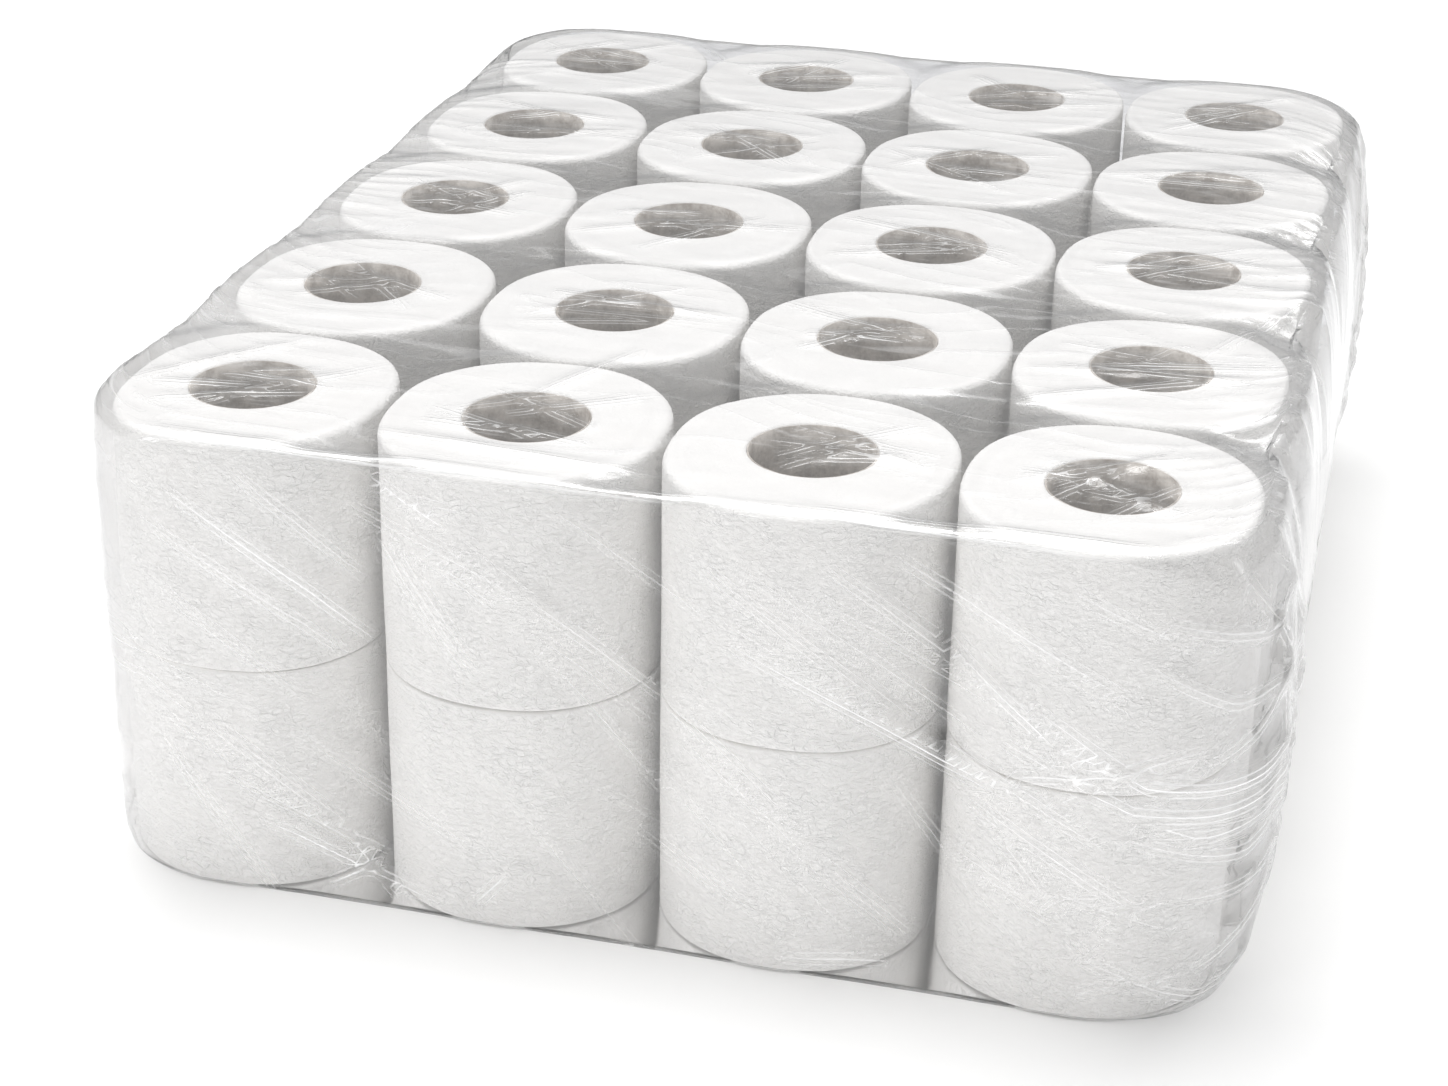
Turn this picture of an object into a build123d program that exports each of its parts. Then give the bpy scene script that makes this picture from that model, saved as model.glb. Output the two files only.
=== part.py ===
from build123d import *

import os

# Bulk pack of toilet rolls: forty rolls on end, four across, five deep and two high, in one clear film bag.
#
# Millimetres, +Z up. The origin is the middle of the pack's underside. +X runs across the four columns and
# +Y from the front row to the back row. The film is a tube along X, closed at both ends by a seal that lies
# across the end. The rolls rest on the film's floor and on each other, with a little slack at their sides.

# How the rolls stand.
COLUMNS = 4
ROWS = 5
LAYER_NAMES = ("lower", "upper")

# One roll. The wrap squeezes the rolls together across the pack, so each is a little narrower than it is
# deep, with flats where it meets its neighbours.
ROLL_PITCH_X = 110.0
ROLL_PITCH_Y = 116.0
ROLL_HEIGHT = 95.0
ROLL_CORNER_RADIUS = 48.0
ROLL_EDGE_RADIUS = 2.5
ROLL_GAP = 0.4

# The cardboard tube that each roll is wound on. It ends just inside the paper's two faces.
CORE_INNER_RADIUS = 23.5
CORE_WALL = 0.8
CORE_FIT_GAP = 0.05
CORE_RECESS = 0.5

# The film bag. Its wall is drawn thicker than the real 0.05 mm so that it meshes soundly.
FILM_WALL = 0.5
FILM_SLACK = 0.4
FILM_EDGE_RADIUS = 3.0

# Each end of the film swells out from the bundle to a flat seal that lies across the middle of the end.
END_BULGE = 16.0
END_ROOT_MARGIN = 4.0
END_ROOT_OVERLAP = 1.0
END_TIP_LENGTH = 430.0
END_TIP_HEIGHT = 44.0
END_CORNER_RADIUS = 18.0
SEAL_LENGTH = 420.0
SEAL_HEIGHT = 12.0
SEAL_DEPTH = 3.0

# What follows from them.
ROLL_WIDTH = ROLL_PITCH_X - ROLL_GAP
ROLL_DEPTH = ROLL_PITCH_Y - ROLL_GAP
CORE_OUTER_RADIUS = CORE_INNER_RADIUS + CORE_WALL
PAPER_BORE_RADIUS = CORE_OUTER_RADIUS + CORE_FIT_GAP
BAG_MARGIN = 2 * (FILM_SLACK + FILM_WALL)
BAG_WIDTH = COLUMNS * ROLL_PITCH_X - ROLL_GAP + BAG_MARGIN
BAG_DEPTH = ROWS * ROLL_PITCH_Y - ROLL_GAP + BAG_MARGIN
BAG_HEIGHT = len(LAYER_NAMES) * ROLL_HEIGHT + FILM_SLACK + 2 * FILM_WALL
BAG_CORNER_RADIUS = ROLL_CORNER_RADIUS + FILM_WALL


def column_x(column):
    """The X of a column of rolls, counted from 1 on the -X side."""
    return (column - (COLUMNS + 1) / 2) * ROLL_PITCH_X


def row_y(row):
    """The Y of a row of rolls, counted from 1 at the front."""
    return (row - (ROWS + 1) / 2) * ROLL_PITCH_Y


def layer_z(layer):
    """The height that a layer's rolls stand at, counted from 0 at the bottom."""
    return FILM_WALL + layer * ROLL_HEIGHT


def wound_paper(x, y, z):
    """One roll's paper: all its turns as a single solid, a little square, with soft rims and a round bore."""
    with BuildPart() as paper:
        with BuildSketch(Plane.XY.offset(z)):
            with Locations((x, y)):
                RectangleRounded(ROLL_WIDTH, ROLL_DEPTH, ROLL_CORNER_RADIUS)
        extrude(amount=ROLL_HEIGHT)
        rims = paper.edges().group_by(Axis.Z)[0] + paper.edges().group_by(Axis.Z)[-1]
        fillet(rims, ROLL_EDGE_RADIUS)
        with Locations((x, y, z + ROLL_HEIGHT)):
            Hole(PAPER_BORE_RADIUS, ROLL_HEIGHT)
    return paper


def core_row(y, z):
    """The cardboard tubes of one row of rolls in one layer, a plain open tube in each column."""
    with BuildPart() as cores:
        with BuildSketch(Plane.XY.offset(z + CORE_RECESS)):
            with Locations(*[(column_x(column), y) for column in range(1, COLUMNS + 1)]):
                Circle(CORE_OUTER_RADIUS)
                Circle(CORE_INNER_RADIUS, mode=Mode.SUBTRACT)
        extrude(amount=ROLL_HEIGHT - 2 * CORE_RECESS)
    return cores


def bag_block(inset):
    """The bag where it is tight round the bundle, as a solid block that lies inset inside the outer face."""
    with BuildPart() as block:
        with BuildSketch(Plane.XY.offset(inset)):
            RectangleRounded(BAG_WIDTH - 2 * inset, BAG_DEPTH - 2 * inset, BAG_CORNER_RADIUS - inset)
        extrude(amount=BAG_HEIGHT - 2 * inset)
        rims = block.edges().group_by(Axis.Z)[0] + block.edges().group_by(Axis.Z)[-1]
        fillet(rims, FILM_EDGE_RADIUS - inset)
    return block.part


def bag_end(side, inset):
    """The loose end of the bag on one side, from near the bundle's edges out to where the seal lies."""
    root_x = side * (BAG_WIDTH / 2 - inset - END_ROOT_OVERLAP)
    root = Plane(origin=(root_x, 0, BAG_HEIGHT / 2), x_dir=(0, 1, 0), z_dir=(side, 0, 0))
    root_length = BAG_DEPTH - 2 * (BAG_CORNER_RADIUS + END_ROOT_MARGIN + inset)
    root_height = BAG_HEIGHT - 2 * (FILM_EDGE_RADIUS + END_ROOT_MARGIN + inset)
    with BuildPart() as end:
        with BuildSketch(root):
            RectangleRounded(root_length, root_height, END_CORNER_RADIUS - inset)
        with BuildSketch(root.offset(END_ROOT_OVERLAP + END_BULGE)):
            RectangleRounded(
                END_TIP_LENGTH - 2 * inset, END_TIP_HEIGHT - 2 * inset, END_CORNER_RADIUS - inset
            )
        loft()
    return end.part


def end_seal(side):
    """The flattened seal of one end: a low solid strip, where the film's layers are welded together."""
    tip = Plane(
        origin=(side * (BAG_WIDTH / 2 + END_BULGE - FILM_WALL), 0, BAG_HEIGHT / 2),
        x_dir=(0, 1, 0),
        z_dir=(side, 0, 0),
    )
    with BuildPart() as seal:
        with BuildSketch(tip):
            RectangleRounded(SEAL_LENGTH, SEAL_HEIGHT, SEAL_HEIGHT / 3)
        extrude(amount=FILM_WALL + SEAL_DEPTH)
    return seal.part


def film_bag():
    """The whole film as one closed thin wall: tight round the bundle, swelling to a seal at each end."""
    with BuildPart() as film:
        add(bag_block(0))
        for side in (-1, 1):
            add(bag_end(side, 0))
        add(bag_block(FILM_WALL), mode=Mode.SUBTRACT)
        for side in (-1, 1):
            add(bag_end(side, FILM_WALL), mode=Mode.SUBTRACT)
            add(end_seal(side))
    return film


def write_part(piece, label):
    """Labels a finished piece and writes its STEP file."""
    piece.part.label = label
    export_step(piece.part, f"parts/{label}.step")


os.makedirs("parts", exist_ok=True)

for layer, layer_name in enumerate(LAYER_NAMES):
    for row in range(1, ROWS + 1):
        write_part(core_row(row_y(row), layer_z(layer)), f"cores_{layer_name}_row{row}")
        for column in range(1, COLUMNS + 1):
            roll = wound_paper(column_x(column), row_y(row), layer_z(layer))
            write_part(roll, f"roll_{layer_name}_row{row}_col{column}")

write_part(film_bag(), "film_bag")
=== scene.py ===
import bpy
import numpy as np
from mathutils import Matrix


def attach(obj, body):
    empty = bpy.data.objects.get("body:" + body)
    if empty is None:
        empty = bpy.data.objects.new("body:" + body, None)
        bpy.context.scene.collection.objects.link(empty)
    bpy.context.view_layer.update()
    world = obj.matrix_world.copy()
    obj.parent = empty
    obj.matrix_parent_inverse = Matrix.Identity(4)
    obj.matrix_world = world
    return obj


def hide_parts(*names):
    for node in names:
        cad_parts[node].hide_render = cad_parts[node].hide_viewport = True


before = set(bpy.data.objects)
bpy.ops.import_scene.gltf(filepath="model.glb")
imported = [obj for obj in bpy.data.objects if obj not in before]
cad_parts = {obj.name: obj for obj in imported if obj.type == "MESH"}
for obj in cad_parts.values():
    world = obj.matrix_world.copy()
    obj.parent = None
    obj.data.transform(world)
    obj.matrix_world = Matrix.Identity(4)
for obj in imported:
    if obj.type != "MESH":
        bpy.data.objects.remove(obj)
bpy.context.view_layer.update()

# ---------------------------------------------------------------------------------------------------------
# The wound paper. Forty rolls of white two-ply tissue, each wound tight on its core and cut from a long log,
# so its ends are flat faces of fine rings. The wrap squeezes the rolls a little square. They stand on end,
# four across, five deep and two high, and only their neighbours and the film hold them.
ROLL_PITCH_X = 0.110
ROLL_PITCH_Y = 0.116
ROLL_HEIGHT = 0.095
ROLL_HALF_WIDTH = 0.0547
ROLL_HALF_DEPTH = 0.0577
ROLL_CORNER = 0.0512
PAPER_BORE = 0.02435
RIM_ROUND = 0.003
PRESSED_ROUND = 0.0012
BORE_ROUND = 0.0007
PACK_FLOOR = 0.0005
OUTER_SQUEEZE = 0.0045
PAPER_DEPTH = 0.0335
MEAN_RADIUS = 0.055
LAST_SHEET_STEP = 0.0003
LAST_SHEET_FADE = 1.6
WALL_SLACK = 0.0008
FACE_DROP = 0.0006
LEAST_DROP = 0.0001
ROLL_STEPS = 120
COLUMNS = 4
ROWS = 5
LAYERS = ("lower", "upper")


def roll_centre(row, column):
    """The middle of a roll in plan: whole pitches out from the pack's own middle."""
    return np.array([(column - (COLUMNS + 1) / 2) * ROLL_PITCH_X, (row - (ROWS + 1) / 2) * ROLL_PITCH_Y])


def squeezed_outline(angle, wobble):
    """A roll's outline at each angle, as x and y: a circle of the corner radius whose four quarters are pushed
    apart to the roll's half width and half depth by a steep tanh of the direction, times a slow wobble."""
    x = (ROLL_HALF_WIDTH - ROLL_CORNER) * np.tanh(5 * np.cos(angle)) + ROLL_CORNER * np.cos(angle)
    y = (ROLL_HALF_DEPTH - ROLL_CORNER) * np.tanh(5 * np.sin(angle)) + ROLL_CORNER * np.sin(angle)
    return np.stack([x, y], axis=-1) * wobble[:, None]


def slow_wave(angle, rng, orders, size):
    """A smooth closed wave round a roll: a sum of cosines of the given orders with seeded heights and phases."""
    heights = rng.uniform(0.3, 1.0, len(orders)) * size / len(orders)
    phases = rng.uniform(0, 2 * np.pi, len(orders))
    return (heights * np.cos(np.multiply.outer(angle, orders) + phases)).sum(axis=-1)


def closed_faces(around, along):
    """Quads of a grid that closes both ways, each numbered along the first way and then along the second. The
    side they face follows the way the section runs: on the wound rolls it is the inner side."""
    i, j = np.meshgrid(np.arange(around), np.arange(along), indexing="ij")
    next_i = (i + 1) % around
    next_j = (j + 1) % along
    quads = [i * along + j, next_i * along + j, next_i * along + next_j, i * along + next_j]
    return np.stack(quads, axis=-1).reshape(-1, 4)


def new_piece(name, points, faces, uv):
    """A smooth mesh object at the origin from a list of points, a list of faces, and a UV pair per point."""
    mesh = bpy.data.meshes.new(name)
    mesh.from_pydata(points.reshape(-1, 3).tolist(), [], [list(face) for face in faces.tolist()])
    corners = np.empty(len(mesh.loops), dtype=np.int32)
    mesh.loops.foreach_get("vertex_index", corners)
    layer = mesh.uv_layers.new(name="surface")
    layer.data.foreach_set("uv", uv.reshape(-1, 2)[corners].astype(np.float32).ravel())
    mesh.polygons.foreach_set("use_smooth", np.ones(len(mesh.polygons), dtype=bool))
    mesh.update()
    piece = bpy.data.objects.new(name, mesh)
    bpy.context.scene.collection.objects.link(piece)
    return piece


def wound_section(top_round, low_round):
    """The closed line that sweeps round a roll: up the bore, out over the top face, round the rim, down the
    wall and back under. Each point is a share of the way from bore to wall, an added offset, and a height."""
    quarter = np.linspace(0, np.pi / 2, 6)
    face = np.linspace(0, 1, 15)[1:-1]
    bore_heights = np.linspace(BORE_ROUND, ROLL_HEIGHT - BORE_ROUND, 4)
    wall_heights = np.linspace(ROLL_HEIGHT - top_round, low_round, 15)[1:-1]
    bore = np.stack([0 * bore_heights, 0 * bore_heights, bore_heights])
    top = np.stack([face, -face * top_round, ROLL_HEIGHT + 0 * face])
    ones, bend_in, bend_up = 1 + 0 * quarter, np.sin(quarter) - 1, 1 - np.cos(quarter)
    rim = np.stack([ones, top_round * bend_in, ROLL_HEIGHT - top_round * bend_up])
    wall = np.stack([1 + 0 * wall_heights, 0 * wall_heights, wall_heights])
    low_rim = np.stack([ones, low_round * bend_in, low_round * bend_up])[:, ::-1]
    under = np.stack([face, -face * low_round, 0 * face])[:, ::-1]
    lip = np.array([[0.0], [BORE_ROUND], [ROLL_HEIGHT]])
    low_lip = np.array([[0.0], [BORE_ROUND], [0.0]])
    return np.concatenate([bore, lip, top, rim, wall, low_rim, under, low_lip], axis=1)


def wound_roll(row, column, layer):
    """Points of one roll: its outline at each angle joined to its bore along the wound section, with seeded
    low waves in the faces, a slight belly in the wall and a thin step where the last sheet ends. The outer side
    of the upper left column is drawn in towards its top."""
    rng = np.random.default_rng(1000 + 100 * layer + 10 * row + column)
    angle = np.linspace(0, 2 * np.pi, ROLL_STEPS, endpoint=False)
    wobble = 1 - 0.004 + slow_wave(angle, rng, np.array([2, 3, 5, 7]), 0.006)
    outline = squeezed_outline(angle, np.minimum(wobble, 1.0))
    outward = outline / np.linalg.norm(outline, axis=1)[:, None]
    bore = PAPER_BORE * outward
    share, offset, height = wound_section(RIM_ROUND if layer else PRESSED_ROUND, PRESSED_ROUND)
    plan = bore[:, None, :] * (1 - share)[None, :, None] + outline[:, None, :] * share[None, :, None]
    plan = plan + outward[:, None, :] * offset[None, :, None]
    up = np.broadcast_to(height, (len(angle), len(height))).copy()
    is_wall = share**3
    belly = slow_wave(height / ROLL_HEIGHT * 2, rng, np.array([1, 2, 4]), 0.0007)
    tail = rng.uniform(0, 2 * np.pi)
    past_tail = np.mod(angle - tail, 2 * np.pi)
    step = LAST_SHEET_STEP * np.clip(1 - past_tail / LAST_SHEET_FADE, 0, 1)
    sink = (WALL_SLACK + belly[None, :] * 0.5 - step[:, None]) * is_wall[None, :]
    plan = plan - outward[:, None, :] * np.maximum(sink, 0)[:, :, None]
    rings = 0.00022 * np.cos(share * rng.uniform(9, 14) + rng.uniform(0, 6))
    rings = rings + 0.00018 * np.cos(share * rng.uniform(24, 30) + rng.uniform(0, 6))
    tilt = slow_wave(angle, rng, np.array([1, 2, 3]), 0.0007)
    drop = FACE_DROP + rings[None, :] * share * 1.2 + tilt[:, None] * share[None, :]
    upper = np.clip((height / ROLL_HEIGHT - 0.5) * 2, 0, 1)
    lower = np.clip((0.5 - height / ROLL_HEIGHT) * 2, 0, 1)
    up = up - np.maximum(drop, LEAST_DROP) * upper[None, :] * (share > 0) + LEAST_DROP * lower[None, :]
    if layer == 1 and column == 1:
        pulled_in = np.clip(-plan[..., 0] / ROLL_HALF_WIDTH, 0, 1) ** 2 * (height / ROLL_HEIGHT)[None, :]
        plan[..., 0] += OUTER_SQUEEZE * pulled_in * np.clip(share * 1.2 - 0.2, 0, 1)[None, :]
    centre = roll_centre(row, column)
    points = np.concatenate([plan + centre, up[:, :, None] + PACK_FLOOR + layer * ROLL_HEIGHT], axis=2)
    steps = np.hypot(np.diff(share * PAPER_DEPTH + offset), np.diff(height))
    run = np.concatenate([[0], np.cumsum(steps)])
    uv = np.stack(np.broadcast_arrays(angle[:, None] * MEAN_RADIUS, run[None, :]), axis=-1)
    return points, uv


def linear(hex_colour):
    """An sRGB hex colour as linear red, green, blue and 1: each channel through the sRGB curve."""
    channels = np.array([int(hex_colour[i : i + 2], 16) / 255 for i in (1, 3, 5)])
    straight = np.where(channels <= 0.04045, channels / 12.92, ((channels + 0.055) / 1.055) ** 2.4)
    return (*straight.tolist(), 1.0)


def add_node(material, kind, settings=None, links=None):
    """A node of that kind in the material's tree. settings are its own properties, or inputs by name or place;
    links are its inputs by name or place, each from another node's output socket."""
    tree = material.node_tree
    node = tree.nodes.new(kind)
    for key, value in (settings or {}).items():
        if isinstance(key, str) and hasattr(node, key):
            setattr(node, key, value)
        else:
            node.inputs[key].default_value = value
    for key, source in (links or {}).items():
        tree.links.new(source, node.inputs[key])
    return node


def new_material(name):
    """An empty node material and its output node."""
    material = bpy.data.materials.new(name)
    material.use_nodes = True
    material.node_tree.nodes.clear()
    return material, add_node(material, "ShaderNodeOutputMaterial")


# Creped tissue paper: soft, matt and white, a touch warm where light bounces between rolls. Crepe and embossing
# give it short shallow wrinkles, one to four millimetres long, and a cloudy, slightly uneven white.
tissue, tissue_output = new_material("creped_white_tissue")
place = add_node(tissue, "ShaderNodeTexCoord")
crepe_place = add_node(
    tissue, "ShaderNodeMapping", {"Scale": (1.0, 1.0, 1.8)}, {"Vector": place.outputs["Object"]}
)
crepe = add_node(
    tissue,
    "ShaderNodeTexNoise",
    {"Scale": 330.0, "Detail": 3.0, "Roughness": 0.62, "Distortion": 1.5},
    {"Vector": crepe_place.outputs[0]},
)
wander = add_node(
    tissue, "ShaderNodeTexNoise", {"Scale": 170.0, "Detail": 2.0}, {"Vector": place.outputs["Object"]}
)
wandered = add_node(
    tissue,
    "ShaderNodeVectorMath",
    {"operation": "MULTIPLY_ADD", 1: (0.012, 0.012, 0.012)},
    {0: wander.outputs["Color"], 2: crepe_place.outputs[0]},
)
creases = add_node(
    tissue,
    "ShaderNodeTexVoronoi",
    {"feature": "DISTANCE_TO_EDGE", "Scale": 165.0},
    {"Vector": wandered.outputs[0]},
)
crease_line = add_node(
    tissue,
    "ShaderNodeMapRange",
    {"From Min": 0.0, "From Max": 0.14, "To Min": 1.0, "To Max": 0.0},
    {"Value": creases.outputs["Distance"]},
)
cloud = add_node(
    tissue, "ShaderNodeTexNoise", {"Scale": 55.0, "Detail": 2.0}, {"Vector": place.outputs["Object"]}
)
patchy = add_node(
    tissue,
    "ShaderNodeMapRange",
    {"From Min": 0.42, "From Max": 0.6, "To Min": 0.1, "To Max": 1.0},
    {"Value": cloud.outputs["Fac"]},
)
embossed = add_node(
    tissue, "ShaderNodeMath", {"operation": "MULTIPLY"}, {0: crease_line.outputs[0], 1: patchy.outputs[0]}
)
relief = add_node(
    tissue,
    "ShaderNodeMath",
    {"operation": "MULTIPLY_ADD", 1: 0.3},
    {0: embossed.outputs[0], 2: crepe.outputs["Fac"]},
)
facing = add_node(tissue, "ShaderNodeNewGeometry")
facing_up = add_node(tissue, "ShaderNodeSeparateXYZ", {}, {0: facing.outputs["True Normal"]})
is_end = add_node(tissue, "ShaderNodeMath", {"operation": "ABSOLUTE"}, {0: facing_up.outputs[2]})
crepe_strength = add_node(
    tissue, "ShaderNodeMapRange", {"To Min": 1.0, "To Max": 0.28}, {"Value": is_end.outputs[0]}
)
crepe_bump = add_node(
    tissue,
    "ShaderNodeBump",
    {"Distance": 0.0011},
    {"Height": relief.outputs[0], "Strength": crepe_strength.outputs[0]},
)
whites = add_node(tissue, "ShaderNodeMix", {"data_type": "RGBA"}, {"Factor": cloud.outputs["Fac"]})
whites.inputs[6].default_value = linear("#F8F6F3")
whites.inputs[7].default_value = linear("#FCFBF9")
tissue_surface = add_node(
    tissue,
    "ShaderNodeBsdfPrincipled",
    {"Roughness": 0.92, "Specular IOR Level": 0.2, "Sheen Weight": 0.15, "Sheen Roughness": 0.6},
    {"Base Color": whites.outputs[2], "Normal": crepe_bump.outputs[0]},
)
tissue.node_tree.links.new(tissue_surface.outputs[0], tissue_output.inputs[0])

for layer, layer_name in enumerate(LAYERS):
    for row in range(1, ROWS + 1):
        for column in range(1, COLUMNS + 1):
            points, uv = wound_roll(row, column, layer)
            faces = closed_faces(*points.shape[:2])
            node = f"roll_{layer_name}_row{row}_col{column}"
            roll = new_piece(f"wound_paper_{layer_name}_row{row}_col{column}", points, faces, uv)
            roll.data.materials.append(tissue)
            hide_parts(node)
            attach(roll, "root")

# ---------------------------------------------------------------------------------------------------------
# The cores. Each roll is wound on a tube of two narrow plies of grey board, wound in a helix and glued, so a
# shallow line runs round it where the edges of the inner ply meet. It ends just inside the paper's faces.
CORE_INNER = 0.0235
CORE_OUTER = 0.0243
CORE_RECESS = 0.0005
PLY_GROOVE = 0.00018
PLY_TURNS = 0.85
GROOVE_WIDTH = 0.0011
CORE_STEPS = 96
CORE_LEVELS = 12


def core_tube(row, column, layer):
    """Points of one tube: a thin closed wall with a groove in its inner face along a helix, as a narrow bell
    curve of the angle away from it."""
    rng = np.random.default_rng(7000 + 100 * layer + 10 * row + column)
    angle = np.linspace(0, 2 * np.pi, CORE_STEPS, endpoint=False)
    length = ROLL_HEIGHT - 2 * CORE_RECESS
    rise = np.linspace(0, length, CORE_LEVELS)
    height = np.concatenate([rise, rise[::-1]])
    inside = np.concatenate([np.ones(CORE_LEVELS), np.zeros(CORE_LEVELS)])
    radius = np.where(inside > 0, CORE_INNER, CORE_OUTER)
    rim_round = 0.0002 * (np.abs(height - length / 2) > length / 2 - 1e-9)
    radius = radius + np.where(inside > 0, 1, -1) * rim_round
    helix = 2 * np.pi * PLY_TURNS * height / length + rng.uniform(0, 2 * np.pi)
    away = np.mod(angle[:, None] - helix[None, :] + np.pi, 2 * np.pi) - np.pi
    groove = PLY_GROOVE * np.exp(-((away * CORE_INNER / GROOVE_WIDTH) ** 2)) * inside[None, :]
    reach = radius[None, :] + groove
    centre = roll_centre(row, column)
    x = centre[0] + reach * np.cos(angle)[:, None]
    y = centre[1] + reach * np.sin(angle)[:, None]
    z = np.broadcast_to(PACK_FLOOR + layer * ROLL_HEIGHT + CORE_RECESS + height, x.shape)
    uv = np.stack(np.broadcast_arrays(angle[:, None] * CORE_INNER, height[None, :]), axis=-1)
    return np.stack([x, y, z], axis=-1), uv


# Grey chipboard: recycled pulp, so a mottled warm grey with darker and lighter specks, matt and a little rough.
board, board_output = new_material("spiral_wound_grey_board")
place = add_node(board, "ShaderNodeTexCoord")
fibres = add_node(
    board,
    "ShaderNodeTexNoise",
    {"Scale": 700.0, "Detail": 4.0, "Roughness": 0.7},
    {"Vector": place.outputs["Object"]},
)
mottle = add_node(
    board, "ShaderNodeTexNoise", {"Scale": 110.0, "Detail": 3.0}, {"Vector": place.outputs["Object"]}
)
board_mix = add_node(
    board,
    "ShaderNodeMath",
    {"operation": "MULTIPLY_ADD", 1: 0.5},
    {0: fibres.outputs["Fac"], 2: mottle.outputs["Fac"]},
)
board_tone = add_node(
    board,
    "ShaderNodeMapRange",
    {"From Min": 0.6, "From Max": 0.9},
    {"Value": board_mix.outputs[0]},
)
greys = add_node(board, "ShaderNodeMix", {"data_type": "RGBA"}, {"Factor": board_tone.outputs[0]})
greys.inputs[6].default_value = linear("#9F968C")
greys.inputs[7].default_value = linear("#DBD4CC")
board_bump = add_node(
    board, "ShaderNodeBump", {"Strength": 0.4, "Distance": 0.0001}, {"Height": fibres.outputs["Fac"]}
)
board_surface = add_node(
    board,
    "ShaderNodeBsdfPrincipled",
    {"Roughness": 0.85, "Specular IOR Level": 0.3},
    {"Base Color": greys.outputs[2], "Normal": board_bump.outputs[0]},
)
board.node_tree.links.new(board_surface.outputs[0], board_output.inputs[0])

for layer, layer_name in enumerate(LAYERS):
    for row in range(1, ROWS + 1):
        tubes = [core_tube(row, column, layer) for column in range(1, COLUMNS + 1)]
        around, along = tubes[0][0].shape[:2]
        one = closed_faces(around, along)[:, ::-1]
        faces = np.concatenate([one + k * around * along for k in range(COLUMNS)])
        points = np.concatenate([tube[0].reshape(-1, 3) for tube in tubes])
        uv = np.concatenate([tube[1].reshape(-1, 2) for tube in tubes])
        core = new_piece(f"core_tubes_{layer_name}_row{row}", points, faces, uv)
        core.data.materials.append(board)
        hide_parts(f"cores_{layer_name}_row{row}")
        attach(core, "root")

# ---------------------------------------------------------------------------------------------------------
# The film bag. A tube of clear polyethylene film is drawn over the bundle, its two ends are welded shut across
# the middle of each end, and heat pulls it tight. It bridges straight from roll to roll, with long pulled
# folds on its sides, small gathers along its edges and pleats at its ends.
BAG_HALF_WIDTH = 0.2207
BAG_HALF_DEPTH = 0.2907
BAG_HEIGHT = 0.1914
BAG_CORNER = 0.0485
BAG_EDGE = 0.0042
END_SWELL = 0.0145
TIGHT_END_SWELL = 0.002
WELD_GAP = 0.985
FINE_STEPS = 300
TUCK_DEPTH = 0.006
TUCK_HALF_WIDTH = 0.034
MOST_DIP = 0.0014


def value_noise(a, b, seed):
    """Smooth random values from 0 to 1 over a plane: a wrapped lattice of seeded numbers at whole a and b,
    joined by smooth steps."""
    lattice = np.random.default_rng(seed).random((256, 256))
    i = np.floor(a).astype(int)
    j = np.floor(b).astype(int)
    s = a - i
    t = b - j
    s = s * s * (3 - 2 * s)
    t = t * t * (3 - 2 * t)
    i0, i1, j0, j1 = i % 256, (i + 1) % 256, j % 256, (j + 1) % 256
    low = lattice[i0, j0] * (1 - s) + lattice[i1, j0] * s
    high = lattice[i0, j1] * (1 - s) + lattice[i1, j1] * s
    return low * (1 - t) + high * t


def crests(a, b, seed):
    """Sharp crests from 0 to 1 where the smooth noise passes its middle value, and the noise's height over that
    middle from -1 to 1, which tells one side of a crest from the other."""
    over_middle = 2 * value_noise(a, b, seed) - 1
    return 1 - np.abs(over_middle), over_middle


def bag_loop():
    """Lengths along the bag's girth line on a sharp-edged block. It starts at half height in front, goes up,
    over the top and down the back in fine steps, then back under the pack in steps twice as long."""
    half_girth = BAG_HEIGHT + 2 * BAG_HALF_DEPTH
    fine = np.linspace(0, half_girth, FINE_STEPS + 1)
    side, floor = BAG_HEIGHT / 2, 2 * BAG_HALF_DEPTH
    coarse = np.concatenate(
        [
            np.linspace(0, side, 35)[:-1],
            np.linspace(side, side + floor, 83)[:-1],
            np.linspace(side + floor, half_girth, 35),
        ]
    )
    return np.concatenate([fine, half_girth + coarse[1:-1]])


def girth_place(run, half_depth):
    """y and z, from the middle of the block, at a length along the girth line, for each half depth of the
    block: the shares of the walk up, across and down stay the same as the block narrows."""
    side = BAG_HEIGHT / 2
    half = BAG_HEIGHT + 2 * BAG_HALF_DEPTH
    turn = np.where(run > half, -1.0, 1.0)
    walk = np.where(run > half, 2 * half - run, run)
    y = np.clip(walk - side - BAG_HALF_DEPTH, -BAG_HALF_DEPTH, BAG_HALF_DEPTH) / BAG_HALF_DEPTH
    z = np.clip(np.minimum(walk, half - walk), 0, side)
    return half_depth[:, None] * y[None, :], np.broadcast_to(turn * z, (len(half_depth), len(run)))


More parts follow.
